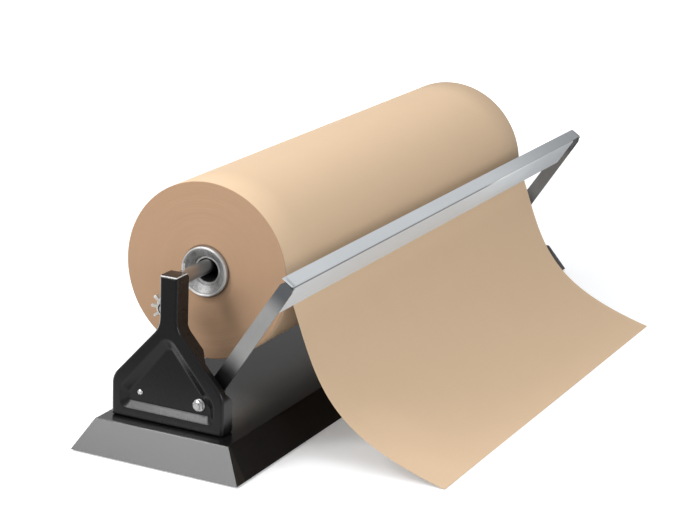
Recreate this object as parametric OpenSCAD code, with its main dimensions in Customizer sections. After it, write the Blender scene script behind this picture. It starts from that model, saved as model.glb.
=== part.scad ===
// Counter-top dispenser and cutter for a wide roll of wrapping paper.
// Millimetres. X runs along the roll, the paper and the cutter are towards -Y, Z is up.
// The origin is on the counter, below the shaft, in the middle of the base.

/* [Base pan] */
// Length of the pan where it meets the counter
base_l = 1110; // [1060:1:1300]
// Depth of the pan where it meets the counter
base_w = 240; // [220:1:320]
// Length of the flat deck
deck_l = 1069; // [1050:1:1250]
// Depth of the flat deck
deck_w = 189; // [175:1:260]
// Height of the deck above the counter
base_h = 43; // [30:1:70]
// Distance of the middle of the pan in front of the shaft
base_forward = 5; // [0:0.5:10]
// Sheet thickness of the pan
pan_t = 1.2; // [0.8:0.1:2]
// Outside radius of the folds around the deck
pan_fold_r = 3; // [2:0.5:6]
// Width of the lip turned in under the pan
lip_w = 16; // [14:1:24]
// Height of the rubber feet below the lip
foot_h = 2; // [1:0.5:4]
// Radius of a rubber foot
foot_r = 6; // [4:0.5:6.5]
// Depth of the stiffener under the middle of the deck, front to back
stiffener_l = 150; // [60:1:170]
// Width of the stiffener's channel
stiffener_w = 40; // [30:1:80]

/* [Stands] */
// Distance between the outer faces of the two stands
stand_span = 1029; // [1025:1:1040]
// Depth of a pressed stand, from its outer face to its rim
stand_d = 25; // [22:0.5:32]
// Sheet thickness of a stand
stand_t = 1.6; // [1:0.1:2.5]
// Radius of the fold around the outer face
stand_fold_r = 4; // [3:0.5:5]
// Width of the stand at its foot
foot_w = 159; // [150:1:168]
// Width of the post
post_w = 25.2; // [24:0.2:30]
// Height of the top of the post above the counter
post_top = 233.7; // [231:0.1:260]
// Height of the shoulder, where the foot starts to narrow
shoulder_z = 94.6; // [90:0.1:100]
// Height of the neck, where the slopes meet the post
neck_z = 169; // [165:0.5:175]
// Depth of the triangular recess
recess_d = 7; // [4:0.5:8]
// Width of the recess at its foot
recess_w = 133; // [125:1:140]
// Height of the bottom edge of the recess above the counter
recess_z = 56; // [54:0.5:60]
// Height of the recess's lower corners above the counter
recess_corner_z = 83; // [80:0.5:86]
// Height of the recess's peak above the counter
recess_peak_z = 163; // [155:0.5:166]
// How far the sloping walls of the recess run in
recess_slope = 8.5; // [5:0.5:9]

/* [Shaft and keepers] */
// Diameter of the shaft
shaft_d = 18; // [14:0.5:22]
// Diameter of the turned-down ends of the shaft
journal_d = 12; // [8:0.5:12]
// Height of the shaft's centre above the counter
shaft_z = 226; // [224:0.1:227]
// Length of each turned-down end
journal_l = 20; // [14:0.5:20]
// Thickness of the plate that carries the shaft's end
saddle_t = 3; // [2:0.5:4]
// Distance of the keeper's stud behind the shaft
keeper_y = 21; // [20.5:0.5:24]
// Height of the keeper's stud above the counter
keeper_z = 184; // [180:0.5:190]
// Thickness of the keeper
keeper_t = 2.5; // [1.5:0.5:4]
// Diameter of the stud that the knob turns on
stud_d = 6; // [4:0.5:8]
// Diameter over the prongs of the knob
knob_d = 44; // [36:1:50]
// Number of prongs on the knob
knob_prongs = 10; // [5:1:12]
// Thickness of the knob
knob_t = 9; // [6:0.5:14]
// Diameter of the spring pins across the shaft
pin_d = 3; // [2:0.5:4]
// Length of the spring pins
pin_l = 35; // [26:1:40]

/* [Paper roll] */
// Diameter of the full roll
roll_d = 228.6; // [120:0.1:229]
// Length of the roll
roll_l = 761; // [450:1:820]
// Distance of the roll's middle from the middle of the base
roll_x = -43; // [-60:1:60]
// Inside diameter of the cardboard core
core_d = 51; // [46:0.5:70]
// Wall of the cardboard core
core_t = 4; // [2:0.5:6]
// Diameter of the rim of a core plug
plug_rim_d = 65; // [62:0.5:90]
// How far the rim stands out of the roll's end
plug_rim_h = 6; // [4:0.5:10]
// Bore of a core plug, much wider than the shaft that it hangs on
plug_bore_d = 30; // [26:0.5:34]
// How far a core plug reaches into the core
plug_l = 42; // [24:1:80]
// Wall of the plug's casting
plug_wall = 3; // [2:0.5:4]
// Number of ribs inside a core plug
plug_ribs = 6; // [3:1:10]

/* [Cutter] */
// Distance of the arms' pivot in front of the shaft
pivot_y = 43; // [40:0.5:46]
// Height of the arms' pivot above the counter
pivot_z = 77; // [75:0.5:80]
// Lean of the arms towards the front at rest
arm_lean = 32.8; // [31:0.1:36]
// Length of an arm, from its pivot to the centre of its round tip
arm_l = 190; // [186:0.5:196]
// Width of an arm at its pivot
arm_foot_w = 21; // [18:0.5:24]
// Width of an arm at its tip
arm_tip_w = 18; // [16:0.5:20]
// Thickness of an arm
arm_t = 3; // [2:0.5:4]
// Clearance between an arm and the rim of its stand, along X
arm_gap = 1; // [0.5:0.1:2]
// Sheet thickness of the cutter bar
bar_t = 1.5; // [1:0.1:2.5]
// Width of the bar's front flange
bar_front_w = 42; // [30:0.5:46]
// Width of the bar's top flange
bar_top_w = 17.5; // [16:0.5:20]
// How far the front flange stands in front of the arms' centre line
bar_front_q = 7.5; // [6:0.5:8]
// How far the front flange stops short of each arm
bar_notch = 11; // [6:1:16]
// Outside radius of the fold between the flanges
bar_fold_r = 2.5; // [2:0.5:4]
// Diameter of the rivets that hold the bar to the arms
rivet_d = 5; // [3:0.5:6]
// Diameter of a pivot bolt
bolt_d = 8; // [6:0.5:8]
// Height of the pivot nut, and of the bolt's head
nut_h = 5; // [4:0.5:7]

/* [Springs] */
// Wire of the torsion springs
wire_d = 2.2; // [1.6:0.1:2.4]
// Coil diameter of the springs, at the middle of the wire
coil_d = 17; // [16.2:0.2:18]
// Whole curls of a spring, before the part turn that sets its legs
coil_turns = 4; // [3:1:5]
// Length of a spring's coil between the middles of its end turns
coil_l = 12.8; // [12:0.2:13.2]
// How far the front leg runs up the arm
leg_reach = 26; // [20:1:28]
// Distance of the spring's anchor behind the shaft
anchor_y = 42; // [38:0.5:46]
// Diameter of the anchor
anchor_d = 6; // [5:0.5:7]

/* [Paper sheet] */
// Thickness of the sheet that is drawn off, as heavy wrapping paper
sheet_t = 0.5; // [0.3:0.1:1]
// How far in front of the shaft the free end lies
sheet_reach = 339; // [280:1:420]
// Points along the sheet from the roll to its free end
sheet_steps = 40; // [20:2:60]

/* [Hidden] */
$fn = 64;

// Clearances
fit = 0.05;       // running fit of a pin in its hole, on the radius
seat = 0.1;       // between a plug or tube and what it is pushed into, on the radius
bare = 0.3;       // between curved faces that only rest on each other
cut = 1;          // how far a cutting solid runs past the face it cuts
corner_steps = 5; // straight steps in a rounded corner

// Pan
pan_slope_y = (base_w - deck_w) / 2 / base_h;
pan_slope_x = (base_l - deck_l) / 2 / base_h;
pan_skin_y = pan_t * sqrt(1 + pan_slope_y * pan_slope_y);
pan_skin_x = pan_t * sqrt(1 + pan_slope_x * pan_slope_x);
lip_top = foot_h + pan_t;
foot_stem_r = 2.5;
foot_head_r = 4;
foot_head_h = 1.5;
foot_inset = pan_slope_y * foot_h + lip_w / 2;
deck_under = base_h - pan_t;
stiffener_t = 1.5;
stiffener_flange = 14;

// Stands
stand_x = stand_span / 2;
rim_x = stand_x - stand_d;
recess_floor_x = stand_x - recess_d;
recess_inside_x = recess_floor_x - stand_t;
stand_corner_r = 3;
shoulder_r = 12;
neck_r = 26;
post_corner_r = 1.5;
recess_peak_r = 11;
recess_shoulder_r = 12;
recess_corner_r = 7;
stand_outline = [
    [foot_w / 2, base_h], [foot_w / 2, shoulder_z], [post_w / 2, neck_z], [post_w / 2, post_top],
    [-post_w / 2, post_top], [-post_w / 2, neck_z], [-foot_w / 2, shoulder_z], [-foot_w / 2, base_h]
];
stand_radii = [
    stand_corner_r, shoulder_r, neck_r, post_corner_r, post_corner_r, neck_r, shoulder_r, stand_corner_r
];
recess_outline = [
    [recess_w / 2, recess_z], [recess_w / 2, recess_corner_z], [0, recess_peak_z],
    [-recess_w / 2, recess_corner_z], [-recess_w / 2, recess_z]
];
recess_radii = [recess_corner_r, recess_shoulder_r, recess_peak_r, recess_shoulder_r, recess_corner_r];
stand_bolt_d = 6;
stand_bolt_x = (rim_x + recess_inside_x) / 2;
stand_bolt_y = foot_w / 2 - 21;
stand_nut_w = 10;
stand_nut_h = 4;

// Shaft and keepers
slot_top = shaft_z + journal_d / 2 + fit;
slot_bottom = shaft_z - journal_d / 2 - fit;
saddle_x = rim_x - saddle_t;
saddle_bottom = neck_z - 18;
ear_r = 8;
keeper_x = saddle_x - seat;
keeper_in_x = keeper_x - keeper_t;
knob_x = keeper_in_x - seat;
keeper_root_r = 9;
keeper_tip_r = 5;
keeper_tip_y = shaft_d / 2 + bare + keeper_tip_r;
knob_core_d = 0.68 * knob_d;
prong_w = 4.5;
knob_boss_h = 4;
shaft_end = saddle_x - 0.5;
pin_inset = 6;
pin_x = keeper_in_x - pin_inset;

// Roll, hanging with its plugs on top of the shaft
roll_z = shaft_z + shaft_d / 2 - plug_bore_d / 2 + bare;
roll_left = roll_x - roll_l / 2;
roll_right = roll_x + roll_l / 2;
core_out_d = core_d + 2 * core_t;
plug_out_d = core_d - 2 * seat;
hub_out_d = plug_bore_d + 2 * plug_wall;
dish_depth = 4;
rim_w = 3.5;

// Cutter
arm_out_x = rim_x - arm_gap;
arm_in_x = arm_out_x - arm_t;
arm_end = arm_l + arm_tip_w / 2;
bar_top = arm_end + bar_t + bare;
bar_foot = bar_top - bar_front_w;
bar_front_x = arm_in_x - bar_notch;
ear_l = 25;
ear_back_q = arm_tip_w / 2 - 2;
tongue_z = bar_foot + 9;
tongue_h = 9;
rivet_head_r = 0.9 * rivet_d;
rivet_head_h = 1.6;
rivet_s = [arm_l - 12, arm_l];
washer_t = 1.6;
washer_r = bolt_d;
bush_r = bolt_d / 2 + 2;
bolt_af = bolt_d * 1.6;

// Springs
coil_r = coil_d / 2;
coil_start_x = recess_inside_x - wire_d / 2 - 0.4;
coil_end_x = coil_start_x - coil_l;
anchor_len = 9;
curl_steps = 8;
wire_sides = 6;
hook_l = 7;

// Sheet: it leaves the front of the roll and falls to the counter in one curve
sheet_start = [-(roll_d / 2 + bare + sheet_t / 2), roll_z + 2];
sheet_end = [-sheet_reach, sheet_t / 2 + bare];
sheet_hang = [-(roll_d / 2 + 47), sheet_start[1] / 2 - 3];
sheet_turn = [-(roll_d / 2 + 49), sheet_start[1] / 5 + 1];

// ---- Small helpers ----

function unit(v) = v / norm(v);

// The points of one corner at b, between a and c, rounded to radius r
function corner(a, b, c, r) =
    let (
        u = unit(a - b),
        w = unit(c - b),
        half = acos(u * w) / 2,
        centre = b + unit(u + w) * r / sin(half),
        first = b + u * r / tan(half) - centre,
        last = b + w * r / tan(half) - centre,
        start = atan2(first[1], first[0]),
        sweep = atan2(cross(first, last), first * last)
    )
    [for (i = [0:corner_steps])
        let (angle = start + sweep * i / corner_steps)
        centre + r * [cos(angle), sin(angle)]];

// An outline with each corner rounded to its own radius
function rounded(points, radii) =
    let (n = len(points))
    [for (i = [0:n - 1])
        each corner(points[(i + n - 1) % n], points[i], points[(i + 1) % n], radii[i])];

// An outline moved inwards by d, its corners still sharp
function inset(points, d) =
    let (n = len(points))
    [for (i = [0:n - 1])
        let (
            before = unit(points[i] - points[(i + n - 1) % n]),
            after = unit(points[(i + 1) % n] - points[i]),
            n1 = [-before[1], before[0]],
            n2 = [-after[1], after[0]]
        )
        points[i] + d * (n1 + n2) / (1 + n1 * n2)];

// The radii that keep the rounded corners of an inset outline concentric
function inset_radii(points, radii, d) =
    let (n = len(points), least = 0.2)
    [for (i = [0:n - 1])
        let (turn = cross(points[i] - points[(i + n - 1) % n], points[(i + 1) % n] - points[i]))
        turn > 0 ? max(radii[i] - d, least) : radii[i] + d];

function inner(points, radii, d) = rounded(inset(points, d), inset_radii(points, radii, d));

// Places a flat outline at one X, as a ring of points in space
function at_x(x, outline) = [for (p = outline) [x, p[0], p[1]]];

// A closed solid through a row of rings with equal even numbers of points. Its ends are laid in strips
// from side to side, so an outline may be hollow where both its sides are alike
module loft(rings) {
    n = len(rings[0]);
    last = len(rings) - 1;
    polyhedron(
        points = [for (ring = rings) each ring],
        faces = concat(
            [for (i = [0:n / 2 - 2]) [i, i + 1, n - 2 - i, n - 1 - i]],
            [for (k = [0:last - 1], i = [0:n - 1])
                [k * n + i, (k + 1) * n + i, (k + 1) * n + (i + 1) % n]],
            [for (k = [0:last - 1], i = [0:n - 1])
                [k * n + i, (k + 1) * n + (i + 1) % n, k * n + (i + 1) % n]],
            [for (i = [0:n / 2 - 2]) [(last + 1) * n - 1 - i, (last + 1) * n - 2 - i, last * n + i + 1, last * n + i]]
        )
    );
}

// Draws a flat shape in the YZ plane and gives it a thickness from x0 to x1
module slab(x0, x1) {
    translate([x0, 0, 0]) rotate([90, 0, 90]) linear_extrude(x1 - x0) children();
}

// A cylinder along X, from x0 to x1, at y and z
module rod(x0, x1, y, z, r) {
    translate([x0, y, z]) rotate([0, 90, 0]) cylinder(r = r, h = x1 - x0);
}

// A hexagon across flats w, along X
module hex_rod(x0, x1, y, z, w) {
    translate([x0, y, z]) rotate([0, 90, 0]) cylinder(r = w / 2 / cos(30), h = x1 - x0, $fn = 6);
}

// Both sides of the machine from the left-hand one
module both() {
    children();
    mirror([1, 0, 0]) children();
}

// ---- Base ----

// The four sloping sides of the pan at a depth below its outer skin
module pan_block(z0, z1, skin_x, skin_y) {
    low_l = base_l / 2 - skin_x;
    low_w = base_w / 2 - skin_y;
    module wall(low, slope, length) {
        half_low = low - slope * z0;
        half_top = low - slope * z1;
        outline = [[-half_low, z0], [half_low, z0], [half_top, z1], [-half_top, z1]];
        linear_extrude(length, center = true) polygon(rounded(outline, [0.2, 0.2, pan_fold_r, pan_fold_r]));
    }
    translate([0, -base_forward, 0]) intersection() {
        rotate([90, 0, 0]) wall(low_l, pan_slope_x, base_w + cut);
        rotate([90, 0, 90]) wall(low_w, pan_slope_y, base_l + cut);
    }
}

// Where the rubber feet go through the lip
foot_places = [for (sx = [-1, 0, 1], sy = [-1, 1])
    [sx * (base_l / 2 - foot_inset - 30), -base_forward + sy * (base_w / 2 - foot_inset)]];

module base_pan() {
    color("#1d1d1f") difference() {
        pan_block(foot_h, base_h, 0, 0);
        pan_block(lip_top, deck_under, pan_skin_x, pan_skin_y);
        translate([-base_l / 2 + lip_w + foot_h, -base_forward - base_w / 2 + lip_w + foot_h, 0])
            cube([base_l - 2 * (lip_w + foot_h), base_w - 2 * (lip_w + foot_h), lip_top + cut]);
        for (p = foot_places) translate([p[0], p[1], 0]) cylinder(r = foot_stem_r, h = lip_top + cut);
        for (sx = [-1, 1], sy = [-1, 1])
            translate([sx * stand_bolt_x, sy * stand_bolt_y, deck_under - cut])
                cylinder(d = stand_bolt_d + 2 * seat, h = pan_t + 2 * cut);
    }
}

// Hat-shaped channel across the middle, welded under the deck
module base_stiffener() {
    half = stiffener_w / 2;
    color("#2a2a2c") difference() {
        translate([0, stiffener_l / 2 - base_forward, 0]) rotate([90, 0, 0]) linear_extrude(stiffener_l)
            polygon([
                [-half - stiffener_flange, deck_under], [-half, deck_under], [-half, foot_h + stiffener_t],
                [half, foot_h + stiffener_t], [half, deck_under], [half + stiffener_flange, deck_under],
                [half + stiffener_flange, deck_under - stiffener_t], [half + stiffener_t, deck_under - stiffener_t],
                [half + stiffener_t, foot_h], [-half - stiffener_t, foot_h],
                [-half - stiffener_t, deck_under - stiffener_t], [-half - stiffener_flange, deck_under - stiffener_t]
            ]);
        cylinder(r = foot_stem_r, h = base_h / 2);
    }
}

// Push-in rubber feet through the lip, and one under the stiffener at the origin
module rubber_feet() {
    module foot(grip) {
        cylinder(r = foot_r, h = foot_h);
        cylinder(r = foot_stem_r, h = foot_h + grip);
        translate([0, 0, foot_h + grip]) cylinder(r = foot_head_r, h = foot_head_h);
    }
    color("#222222") {
        for (p = foot_places) translate([p[0], p[1], 0]) foot(pan_t);
        foot(stiffener_t);
    }
}

// ---- Stands ----

// One pressed stand, open towards the roll, for the left end
module stand_shell() {
    fold = 4;
    inner_r = stand_fold_r - stand_t;
    outside = concat(
        [for (k = [0:fold]) at_x(-stand_x + stand_fold_r * (1 - cos(90 * k / fold)),
            inner(stand_outline, stand_radii, stand_fold_r * (1 - sin(90 * k / fold))))],
        [at_x(-rim_x, inner(stand_outline, stand_radii, 0))]);
    hollow = concat(
        [for (k = [0:fold]) at_x(-stand_x + stand_t + inner_r * (1 - cos(90 * k / fold)),
            inner(stand_outline, stand_radii, stand_t + inner_r * (1 - sin(90 * k / fold))))],
        [at_x(-rim_x + cut, inner(stand_outline, stand_radii, stand_t))]);
    thin = 0.01;
    difference() {
        union() {
            difference() {
                loft(outside);
                loft(hollow);
            }
            hull() {
                slab(-stand_x + stand_t / 2, -stand_x + stand_t / 2 + thin)
                    polygon(inner(recess_outline, recess_radii, -stand_t / 2));
                slab(-recess_inside_x - thin, -recess_inside_x)
                    polygon(inner(recess_outline, recess_radii, recess_slope - stand_t / 2));
            }
        }
        hull() {
            slab(-stand_x - thin, -stand_x)
                polygon(inner(recess_outline, recess_radii, 0));
            slab(-recess_floor_x - thin, -recess_floor_x)
                polygon(inner(recess_outline, recess_radii, recess_slope));
        }
        rod(-stand_x, -rim_x, -pivot_y, pivot_z, bolt_d / 2 + seat);
        rod(-stand_x, -rim_x, anchor_y, pivot_z, anchor_d / 2 - 0.5);
        translate([-rim_x - journal_l - 2, post_w / 2 - 2 * stand_t, slot_bottom])
            cube([journal_l + 2 + cut, 3 * stand_t, slot_top - slot_bottom]);
        for (sy = [-1, 1])
            translate([-stand_bolt_x, sy * stand_bolt_y, base_h - cut])
                cylinder(d = stand_bolt_d + 2 * seat, h = stand_t + 2 * cut);
    }
}

module left_stand() { color("#1b1b1d") stand_shell(); }
module right_stand() { color("#1b1b1d") mirror([1, 0, 0]) stand_shell(); }

module stand_bolts() {
    color("#9a9a9c") both() for (sy = [-1, 1]) translate([-stand_bolt_x, sy * stand_bolt_y, 0]) {
        translate([0, 0, deck_under - stand_nut_h - 3]) cylinder(d = stand_bolt_d, h = stand_nut_h + 3 + pan_t + stand_t);
        translate([0, 0, base_h + stand_t]) cylinder(r = stand_nut_w / 2 / cos(30), h = stand_nut_h, $fn = 6);
    }
}

module stand_nuts() {
    color("#9a9a9c") both() for (sy = [-1, 1]) translate([-stand_bolt_x, sy * stand_bolt_y, deck_under - stand_nut_h])
        difference() {
            cylinder(r = stand_nut_w / 2 / cos(30), h = stand_nut_h, $fn = 6);
            translate([0, 0, -cut]) cylinder(d = stand_bolt_d + 2 * fit, h = stand_nut_h + 2 * cut);
        }
}

// ---- Shaft, its saddles and its keepers ----

// Plate welded across the open side of the post; its slot lets the shaft out to the rear
module saddle() {
    half = post_w / 2;
    color("#26262a") difference() {
        slab(-rim_x, -saddle_x) difference() {
            union() {
                polygon(rounded(
                    [[half, saddle_bottom], [half, post_top - 1], [-half, post_top - 1], [-half, saddle_bottom]],
                    [2, 2, 2, 2]));
                translate([0, keeper_z - ear_r]) square([keeper_y, 2 * ear_r]);
                translate([keeper_y, keeper_z]) circle(r = ear_r);
            }
            translate([0, shaft_z]) circle(d = journal_d + 2 * fit);
            translate([0, slot_bottom]) square([post_w, slot_top - slot_bottom]);
        }
        rod(-rim_x - cut, -saddle_x + cut, keeper_y, keeper_z, stud_d / 2 + fit);
    }
}

module left_saddle() { saddle(); }
module right_saddle() { mirror([1, 0, 0]) saddle(); }

module shaft() {
    color("#8f8a83") difference() {
        union() {
            rod(-shaft_end, shaft_end, 0, shaft_z, shaft_d / 2);
            rod(-shaft_end - journal_l, shaft_end + journal_l, 0, shaft_z, journal_d / 2);
        }
        for (sx = [-1, 1]) translate([sx * pin_x, 0, shaft_z - shaft_d])
            cylinder(d = pin_d + 2 * fit, h = 2 * shaft_d);
    }
}

module shaft_pins() {
    color("#d8d8d8") both() translate([-pin_x, 0, shaft_z - pin_l / 2]) cylinder(d = pin_d, h = pin_l);
}

// Studs riveted in the saddles' ears, which carry the keepers and their knobs
module keeper_studs() {
    head_h = 2;
    color("#a5a5a5") both() {
        rod(-rim_x, -knob_x + knob_t + knob_boss_h, keeper_y, keeper_z, stud_d / 2);
        rod(-rim_x - head_h, -rim_x, keeper_y, keeper_z, stud_d * 0.85);
    }
}

// Finger that swings up behind the shaft and shuts the slot
module keeper() {
    color("#b9b9b9") difference() {
        slab(-keeper_x, -keeper_in_x) hull() {
            translate([keeper_y, keeper_z]) circle(r = keeper_root_r, $fn = 32);
            translate([keeper_tip_y, shaft_z]) circle(r = keeper_tip_r, $fn = 32);
        }
        rod(-keeper_x - cut, -keeper_in_x + cut, keeper_y, keeper_z, stud_d / 2 + fit);
    }
}

module left_keeper() { keeper(); }
module right_keeper() { mirror([1, 0, 0]) keeper(); }

// Pronged hand knob that clamps the keeper
module keeper_knob() {
    color("#e2ded6") difference() {
        union() {
            translate([0, keeper_y, keeper_z]) slab(-knob_x, -knob_x + knob_t) {
                circle(d = knob_core_d);
                for (i = [0:knob_prongs - 1]) rotate(360 * i / knob_prongs) {
                    translate([0, -prong_w / 2]) square([(knob_d - prong_w) / 2, prong_w]);
                    translate([(knob_d - prong_w) / 2, 0]) circle(d = prong_w);
                }
            }
            rod(-knob_x, -knob_x + knob_t + knob_boss_h, keeper_y, keeper_z, stud_d);
        }
        rod(-knob_x - cut, -knob_x + knob_t + knob_boss_h + cut, keeper_y, keeper_z, stud_d / 2 + fit);
    }
}

module left_keeper_knob() { keeper_knob(); }
module right_keeper_knob() { mirror([1, 0, 0]) keeper_knob(); }

// ---- Paper roll ----

module paper_roll() {
    color("#c9a67d") difference() {
        rod(roll_left, roll_right, 0, roll_z, roll_d / 2);
        rod(roll_left - cut, roll_right + cut, 0, roll_z, core_out_d / 2 + seat);
    }
}

module core_tube() {
    color("#a98662") difference() {
        rod(roll_left, roll_right, 0, roll_z, core_out_d / 2);
        rod(roll_left - cut, roll_right + cut, 0, roll_z, core_d / 2);
    }
}

// Cast plug with its rim at x = 0 and its body running towards +X
module core_plug() {
    rim_r = plug_rim_d / 2;
    out_r = plug_out_d / 2;
    bore_r = plug_bore_d / 2;
    hub_r = hub_out_d / 2;
    color("#a9a9a6") {
        rotate([0, 90, 0]) rotate_extrude($fn = 96) polygon(concat(
            [[bore_r, plug_l], [bore_r, dish_depth + 1], [bore_r + 1, dish_depth], [hub_r, dish_depth],
             [hub_r + 1.5, dish_depth - 2], [rim_r - rim_w - 1, -plug_rim_h + 2]],
            [for (a = [180:-30:0]) [rim_r - rim_w / 2 + rim_w / 2 * cos(a), -plug_rim_h + rim_w / 2 - rim_w / 2 * sin(a)]],
            [[rim_r, 0], [out_r, 0], [out_r, plug_l], [out_r - plug_wall, plug_l],
             [out_r - plug_wall, dish_depth + plug_wall], [hub_r, dish_depth + plug_wall], [hub_r, plug_l]]
        ));
        for (i = [0:plug_ribs - 1]) rotate([360 * i / plug_ribs, 0, 0])
            translate([dish_depth + plug_wall / 2, -plug_wall / 2, hub_r - plug_wall / 2])
                cube([plug_l - dish_depth - 2 * plug_wall, plug_wall, out_r - hub_r]);
    }
}

module left_core_plug() { translate([roll_left, 0, roll_z]) core_plug(); }
module right_core_plug() { translate([roll_right, 0, roll_z]) mirror([1, 0, 0]) core_plug(); }

// ---- Cutter ----

// Turns a shape drawn up the arm (first axis to the rear, second up the arm) to its lean at rest
module on_arm() {
    translate([0, -pivot_y, pivot_z]) rotate([arm_lean, 0, 0]) children();
}

module arm() {
    color("#bdbdbd") on_arm() difference() {
        slab(-arm_out_x, -arm_in_x) {
            circle(d = arm_foot_w);
            translate([0, arm_l]) circle(d = arm_tip_w);
            polygon([[-arm_foot_w / 2, 0], [arm_foot_w / 2, 0], [arm_tip_w / 2, arm_l], [-arm_tip_w / 2, arm_l]]);
        }
        rod(-arm_out_x - cut, -arm_in_x + cut, 0, 0, bolt_d / 2 + fit);
        for (s = rivet_s) rod(-arm_out_x - cut, -arm_in_x + cut, 0, s, rivet_d / 2 + fit);
    }
}

module left_arm() { arm(); }
module right_arm() { mirror([1, 0, 0]) arm(); }

// One bent sheet: a narrow top flange over the arms' tips, a wide front flange that tears the
// paper, and an ear turned down at each end
module cutter_bar() {
    front = -bar_front_q;
    back = front + bar_top_w;
    top = bar_top;
    edge_t = 0.4;
    fold = corner([back, top], [front, top], [front, bar_foot], bar_fold_r);
    inner_fold = corner([back, top - bar_t], [front + bar_t, top - bar_t], [front + bar_t, bar_foot],
        bar_fold_r - bar_t);
    color("#c2c4c4") on_arm() {
        slab(-bar_front_x, bar_front_x) polygon(concat(
            [[back, top]], fold, [[front, bar_foot], [front + edge_t, bar_foot], [front + bar_t, bar_foot + 2]],
            [for (i = [len(inner_fold) - 1:-1:0]) inner_fold[i]], [[back, top - bar_t]]));
        both() {
            slab(-arm_out_x, -bar_front_x) translate([front + bar_fold_r, top - bar_t])
                square([bar_top_w - bar_fold_r, bar_t]);
            slab(-arm_in_x, -bar_front_x) translate([front, tongue_z]) square([bar_t, tongue_h]);
            difference() {
                slab(-arm_in_x, -arm_in_x + bar_t) translate([front, top - ear_l])
                    square([ear_back_q - front, ear_l]);
                for (s = rivet_s) rod(-arm_in_x - cut, -arm_in_x + bar_t + cut, 0, s, rivet_d / 2 + fit);
            }
        }
    }
}

module arm_rivets() {
    color("#d0d0d0") on_arm() both() for (s = rivet_s) {
        rod(-arm_out_x - rivet_head_h, -arm_in_x + bar_t + rivet_head_h, 0, s, rivet_d / 2);
        rod(-arm_out_x - rivet_head_h, -arm_out_x, 0, s, rivet_head_r);
        rod(-arm_in_x + bar_t, -arm_in_x + bar_t + rivet_head_h, 0, s, rivet_head_r);
    }
}

// Bolts through the stands that the arms turn on, their heads towards the roll
module pivot_bolts() {
    color("#b5b5b5") both() {
        rod(-recess_floor_x - washer_t - nut_h - 1, -arm_in_x + washer_t, -pivot_y, pivot_z, bolt_d / 2);
        rod(-arm_in_x, -arm_in_x + washer_t, -pivot_y, pivot_z, washer_r);
        hex_rod(-arm_in_x + washer_t, -arm_in_x + washer_t + nut_h, -pivot_y, pivot_z, bolt_af);
    }
}

// Nuts and washers on the floor of each recess
module pivot_nuts() {
    color("#c8c8c8") both() difference() {
        union() {
            rod(-recess_floor_x - washer_t, -recess_floor_x, -pivot_y, pivot_z, washer_r);
            hex_rod(-recess_floor_x - washer_t - nut_h, -recess_floor_x - washer_t, -pivot_y, pivot_z, bolt_af);
        }
        rod(-stand_x - nut_h, -rim_x, -pivot_y, pivot_z, bolt_d / 2 + fit);
    }
}

// Tubes on the bolts that hold the arms off the stands and carry the springs
module pivot_bushes() {
    color("#8c8c8c") both() difference() {
        rod(-recess_inside_x, -arm_out_x, -pivot_y, pivot_z, bush_r);
        rod(-recess_inside_x - cut, -arm_out_x + cut, -pivot_y, pivot_z, bolt_d / 2 + fit);
    }
}

// ---- Springs ----

// Where a straight leg that ends at p leaves the coil, as an angle about the pivot; side is 1 where
// the coil lies clockwise of the leg and -1 where it lies the other way
function leave_angle(p, side) =
    atan2(p[1], p[0]) + side * acos(coil_r / norm(p));

lean_up = [-sin(arm_lean), cos(arm_lean)];
lean_front = [-cos(arm_lean), -sin(arm_lean)];
front_edge = (arm_foot_w + (arm_tip_w - arm_foot_w) * leg_reach / arm_l) / 2 + wire_d / 2 + bare;
front_tip = lean_up * leg_reach + lean_front * front_edge;
rear_tip = [anchor_y + pivot_y + 5, -anchor_d / 2 - wire_d / 2 - bare];
rear_angle = leave_angle(rear_tip, -1);
front_angle = leave_angle(front_tip, 1) - 360;
wind = rear_angle - front_angle + 360 * coil_turns;
curl_points = ceil(wind / 360 * curl_steps);

// The middle of the wire, from the rear leg's tip round the coil to the hook on the arm
spring_path = concat(
    [[-coil_start_x, rear_tip[0], rear_tip[1]]],
    [for (i = [0:curl_points])
        let (angle = rear_angle - wind * i / curl_points)
        [-coil_start_x + coil_l * i / curl_points, coil_r * cos(angle), coil_r * sin(angle)]],
    [for (a = [0:30:90])
        [-coil_end_x + wire_d * (1 - cos(a)), front_tip[0] + (sin(a) - 1) * lean_up[0] * wire_d,
         front_tip[1] + (sin(a) - 1) * lean_up[1] * wire_d]],
    [[-coil_end_x + hook_l, front_tip[0], front_tip[1]]]
);

// Least distance between wire faces one curl apart, measured on the path's own points
coil_gap = min([for (i = [1:curl_points + 1 - curl_steps])
    norm(spring_path[i + curl_steps] - spring_path[i]) - wire_d]);
echo(coil_gap = coil_gap);

// Directions along a path, and a sideways vector carried along it without twisting
function directions(path) =
    [for (i = [0:len(path) - 1])
        unit(path[min(i + 1, len(path) - 1)] - path[max(i - 1, 0)])];

function carried(dirs) =
    [for (i = 0, side = unit(cross(dirs[0], [1, 0, 0])); i < len(dirs);
        i = i + 1,
        side = i < len(dirs) ? unit(side - (side * dirs[i]) * dirs[i]) : side) side];

function wire_rings(path, r) =
    let (dirs = directions(path), sides = carried(dirs))
    [for (i = [0:len(path) - 1])
        [for (k = [0:wire_sides - 1])
            let (a = -360 * k / wire_sides)
            path[i] + r * (cos(a) * sides[i] + sin(a) * cross(dirs[i], sides[i]))]];

module spring() {
    color("#77777a") translate([0, -pivot_y, pivot_z]) loft(wire_rings(spring_path, wire_d / 2));
}

module left_spring() { spring(); }
module right_spring() { mirror([1, 0, 0]) spring(); }

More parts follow.
